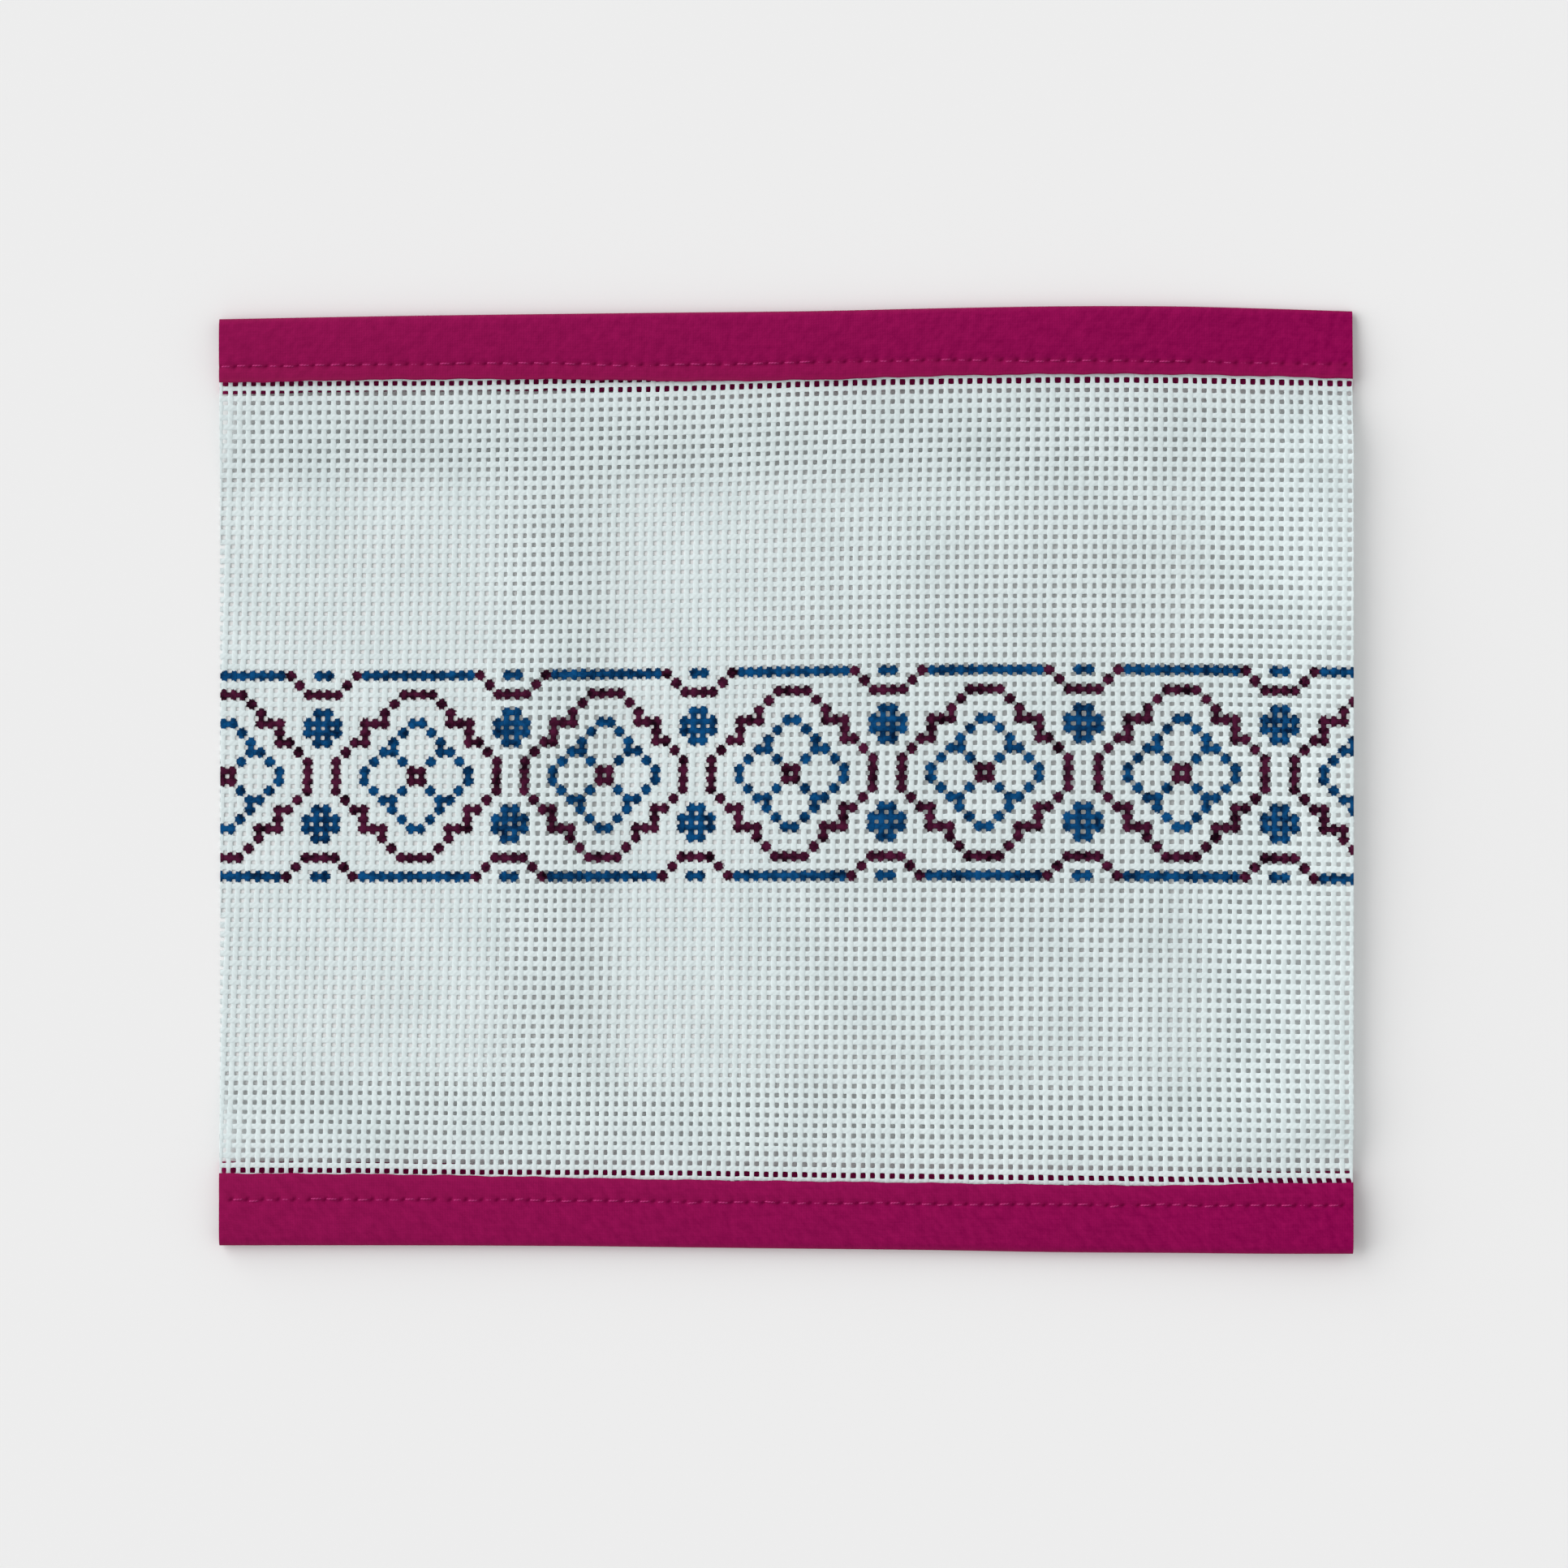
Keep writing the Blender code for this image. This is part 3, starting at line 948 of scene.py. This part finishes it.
def folded_tape(binding, x, settings, length):
    """The middle of the tape's cloth at each x, from the edge turned in on the face to the one
    on the back: distances, heights, rubbed marks with painted glare at the left end, and
    needle marks that paint shade at the needle holes, as [x, step]."""
    cloth = settings.cloth_thickness / MM
    turned = settings.turned_in / MM
    fold = binding_line(binding, "fold", x)
    face = binding_line(binding, "face", x)
    face = face + 0.05 * np.sin(x / 1.9 + 0.8 * binding.side) + 0.04 * np.sin(x / 0.71)
    seam = binding_line(binding, "seam", x)
    hem_reach = HEM_RADIUS + cloth / 2
    outer = TAPE_HEIGHT - cloth / 2
    inner = outer - 2 * HEM_RADIUS
    round_radius = (TAPE_HEIGHT - cloth) / 2
    fold_centre = fold - TAPE_HEIGHT / 2
    back = face - BACK_LEG_OVERREACH
    hole = needle_pull(stitch_phase(binding, x, length))
    # The left end is paler than the right. This is painted glare, mixed in with the rubbed colour.
    left_end_glare = 0.22 * (1 - x / HALF_WIDTH) / 2

    steps = []

    def leg(start, end, shares, level, rubbed=0.0):
        for share in shares:
            distance = start + (end - start) * share
            steps.append((distance, level(distance), rubbed + left_end_glare, 0 * x))

    def face_level(distance):
        return outer + face_lift(binding, x, distance, length)

    def inner_level(distance):
        return inner + face_lift(binding, x, distance, length)

    def back_level(distance):
        lift = (0.2 + 0.12 * hole) * np.exp(-(((distance - seam) / 0.5) ** 2))
        return cloth / 2 + lift

    def inner_back_level(distance):
        return back_level(distance) + 2 * HEM_RADIUS

    hem_start = face + hem_reach
    leg(hem_start + turned, hem_start, (0.0, 0.4, 0.62, 0.8), inner_level)
    for step in range(6):
        angle = -np.pi / 2 - np.pi * step / 5
        bottom = inner_level(hem_start)
        top = face_level(hem_start)
        radius = (top - bottom) / 2
        distance = hem_start + HEM_RADIUS * np.cos(angle)
        rubbed = binding.edge_rub * np.clip(np.sin(angle), 0, 1) + left_end_glare
        steps.append((distance, (top + bottom) / 2 + radius * np.sin(angle), rubbed, 0 * x))
    leg(hem_start, seam, (0.22, 0.44, 0.64, 0.82, 1.0), face_level, 0.4 * binding.edge_rub)
    leg(seam, fold_centre, np.arange(1, 13) / 12, face_level)
    for step in range(1, 9):
        angle = np.pi / 2 - np.pi * step / 8
        distance = fold_centre + round_radius * np.cos(angle)
        level = TAPE_HEIGHT / 2 + round_radius * np.sin(angle)
        steps.append((distance, level + 0 * x, 0.2 * hump(angle, 1.2) + left_end_glare, 0 * x))
    back_start = back + hem_reach
    leg(fold_centre, seam, (0.35, 0.7, 0.88, 1.0), back_level)
    leg(seam, back_start, (0.2, 0.5, 1.0), back_level)
    for step in range(1, 5):
        angle = -np.pi / 2 - np.pi * step / 4
        distance = back_start + HEM_RADIUS * np.cos(angle)
        level = cloth / 2 + HEM_RADIUS * (1 + np.sin(angle))
        steps.append((distance, level + 0 * x, 0.3 + 0 * x, 0 * x))
    leg(back_start, back_start + turned, (0.5, 1.0), inner_back_level)

    distance, level, rubbed, needle = (np.stack(part, axis=1) for part in zip(*steps))
    level = settled(binding.side, x[:, None], distance, level)
    from_seam = distance - seam[:, None]
    # Painted shade at the needle holes, falling off beside the seam.
    needle = hole[:, None] * np.exp(-((from_seam / 0.36) ** 2))
    return distance, level, rubbed, needle


def there_and_back(out, back):
    return np.concatenate((out, back[:, ::-1]), axis=1)


class NEEDLEPOINT_OT_fold_bindings(Operator):
    """Fold the two tapes over the long edges of the canvas"""

    bl_idname = "needlepoint.fold_bindings"
    bl_label = "Fold the bindings"

    def execute(self, context):
        settings = context.scene.needlepoint_bindings
        stitches = context.scene.needlepoint_stitches
        material = tape_material(settings)
        length = stitches.length / MM
        cloth = settings.cloth_thickness / MM
        x = np.linspace(-HALF_WIDTH, HALF_WIDTH, TAPE_STATIONS)
        for binding in BINDINGS:
            distance, level, rubbed, needle = folded_tape(binding, x, settings, length)
            run_distance = np.gradient(distance, axis=1)
            run_level = np.gradient(level, axis=1)
            run = np.hypot(run_distance, run_level)
            out_distance = -run_level / run * cloth / 2
            out_level = run_distance / run * cloth / 2
            travel = np.cumsum(run, axis=1)
            steps = distance.shape[1]

            loop_distance = there_and_back(distance + out_distance, distance - out_distance)
            loop_level = there_and_back(level + out_level, level - out_level)
            loop_x = np.repeat(x[:, None], 2 * steps, axis=1)
            points = np.stack((loop_x, binding.side * loop_distance, loop_level), axis=-1)
            travels, wear_and_glare, needle_hole_shade = (
                there_and_back(part, part) for part in (travel, rubbed, needle)
            )
            cloth_map = np.stack((loop_x, travels, 0 * loop_x), axis=-1)
            marks = np.stack((wear_and_glare, needle_hole_shade, 0 * loop_x), axis=-1)

            index = np.arange(points[..., 0].size).reshape(len(x), 2 * steps)
            here = index[:-1]
            ahead = index[1:]
            sides = np.stack((here, np.roll(here, -1, 1), np.roll(ahead, -1, 1), ahead), -1)
            faces = sides.reshape(-1, 4).tolist()
            for end, turn in ((index[0], 1), (index[-1], -1)):
                face_run = end[:steps]
                back_run = end[:steps - 1:-1]
                caps = np.stack((face_run[:-1], back_run[:-1], back_run[1:], face_run[1:]), -1)
                faces += caps[:, ::turn].tolist()
            if binding.side < 0:
                faces = [face[::-1] for face in faces]
            tape = new_piece(
                f"{binding.node}_tape",
                points,
                faces,
                {"cloth": cloth_map, "marks": marks},
                material,
                binding.node,
            )
        return {"FINISHED"}


class NEEDLEPOINT_OT_sew_seams(Operator):
    """Sew a row of machine stitches through each binding, on the face and on the back"""

    bl_idname = "needlepoint.sew_seams"
    bl_label = "Sew the seams"

    def execute(self, context):
        settings = context.scene.needlepoint_stitches
        material = sewing_thread_material(settings)
        length = settings.length / MM
        width = settings.thread_width / MM
        along_stitch = np.array((0.14, 0.22, 0.36, 0.64, 0.78, 0.86))
        sink = np.array((-0.3, -0.06, 0.06, 0.06, -0.06, -0.3))
        thickness = np.array((0.6, 0.85, 1.0, 1.0, 0.85, 0.6))
        rng = np.random.default_rng(7)
        for binding in BINDINGS:
            holes = np.arange(binding.first_hole, HALF_WIDTH - length, length)
            slant = rng.normal(binding.climb, 0.05, len(holes))
            # The row strays slowly to both sides of its line.
            strays = rng.normal(0.0, 0.065, len(holes) + 2)
            astray = strays[:-2] + strays[1:-1] + strays[2:]
            # Some stitches lie on the tape and some are pulled into it.
            slack = rng.uniform(-0.17, 0.04, len(holes))
            if binding.side > 0:
                # The last few sink into the tape.
                slack -= 0.12 * np.clip((holes - 66) / 6, 0, 1)
            for place, sign in (("face", 1), ("back", -1)):
                x = holes[None] + along_stitch[:, None] * length
                seam = binding_line(binding, "seam", x)
                middle = holes + length / 2
                middle_seam = binding_line(binding, "seam", middle)
                if sign > 0:
                    level = TAPE_HEIGHT + face_lift(binding, middle, middle_seam, length)
                else:
                    level = 0.2 + 0 * middle
                y = binding.side * seam + astray + slant * (along_stitch[:, None] - 0.5) * 2
                z = level + sign * (sink[:, None] * (1.0 if sign > 0 else 0.4) + slack)
                z = settled(binding.side, x, seam, z)
                centres = np.stack((x, y, z), axis=-1)
                widths = width * thickness[:, None] * np.ones(len(holes))
                points = tube_points(centres, NEARER, widths, 0.8 * widths)
                yarn = np.zeros(points.shape)
                yarn[..., 0] = x[..., None]
                yarn[..., 1] = widths[..., None] * SECTION_ACROSS / 2
                kept = np.ones(points.shape[:2], bool)
                sides, ends = tubes_into_faces(kept, points.shape[2])
                new_piece(
                    f"{binding.node}_stitches_{place}",
                    points,
                    sides.tolist() + ends.tolist(),
                    {"yarn": yarn},
                    material,
                    binding.node,
                )
        return {"FINISHED"}


class NEEDLEPOINT_OT_lay_stage(Operator):
    """Lay the table, set the soft light and point the camera straight down"""

    bl_idname = "needlepoint.lay_stage"
    bl_label = "Lay the stage"

    def execute(self, context):
        settings = context.scene.needlepoint_stage
        scene = context.scene
        half = settings.table_size / 2
        mesh = bpy.data.meshes.new("table_top")
        mesh.from_pydata(
            [(-half, -half, 0), (half, -half, 0), (half, half, 0), (-half, half, 0)],
            [],
            [(0, 1, 2, 3)],
        )
        mesh.materials.append(table_material(settings.table))
        table = bpy.data.objects.new("table_top", mesh)
        scene.collection.objects.link(table)

        sun = bpy.data.lights.new("window_light", "SUN")
        sun.energy = settings.sun_strength
        sun.angle = settings.sun_spread
        window = bpy.data.objects.new("window_light", sun)
        towards = Vector((-0.88, 0.35, 0.32))
        window.rotation_euler = towards.to_track_quat("Z", "Y").to_euler()
        scene.collection.objects.link(window)

        world = bpy.data.worlds.new("plain_room")
        world.use_nodes = True
        background = world.node_tree.nodes["Background"]
        background.inputs["Color"].default_value = (1.0, 1.0, 1.0, 1.0)
        background.inputs["Strength"].default_value = settings.room_strength
        scene.world = world

        lens = bpy.data.cameras.new("camera")
        lens.lens = settings.lens
        lens.sensor_width = 36.0
        camera = bpy.data.objects.new("camera", lens)
        # The panel lies a hair to the right of the middle of the view, and above it.
        distance = settings.view_width * settings.lens / lens.sensor_width
        camera.location = (-0.3 * MM, -0.6 * MM, distance + 2.3 * MM)
        scene.collection.objects.link(camera)
        scene.camera = camera
        scene.view_settings.view_transform = "Standard"
        return {"FINISHED"}


class NEEDLEPOINT_PT_panel(Panel):
    """Lists the steps of making the panel, with their sizes and colours"""

    bl_label = "Needlepoint panel"
    bl_space_type = "VIEW_3D"
    bl_region_type = "UI"
    bl_category = "Needlepoint"

    def draw(self, context):
        for operator, group in STEPS:
            box = self.layout.box()
            box.operator(operator.bl_idname)
            settings = getattr(context.scene, group)
            for title in settings.__annotations__:
                box.prop(settings, title)


GROUPS = {
    "needlepoint_canvas": CanvasSettings,
    "needlepoint_bindings": BindingSettings,
    "needlepoint_stitches": StitchSettings,
    "needlepoint_stage": StageSettings,
}
STEPS = (
    (NEEDLEPOINT_OT_lay_stage, "needlepoint_stage"),
    (NEEDLEPOINT_OT_weave_canvas, "needlepoint_canvas"),
    (NEEDLEPOINT_OT_fold_bindings, "needlepoint_bindings"),
    (NEEDLEPOINT_OT_sew_seams, "needlepoint_stitches"),
)


def register():
    for title, group in GROUPS.items():
        bpy.utils.register_class(group)
        setattr(bpy.types.Scene, title, PointerProperty(type=group))
    for operator, _ in STEPS:
        bpy.utils.register_class(operator)
    bpy.utils.register_class(NEEDLEPOINT_PT_panel)


def unregister():
    bpy.utils.unregister_class(NEEDLEPOINT_PT_panel)
    for operator, _ in reversed(STEPS):
        bpy.utils.unregister_class(operator)
    for title, group in reversed(GROUPS.items()):
        delattr(bpy.types.Scene, title)
        bpy.utils.unregister_class(group)


def main():
    register()
    bpy.ops.needlepoint.lay_stage()
    bpy.ops.needlepoint.weave_canvas()
    bpy.ops.needlepoint.fold_bindings()
    bpy.ops.needlepoint.sew_seams()


if __name__ == "__main__":
    main()
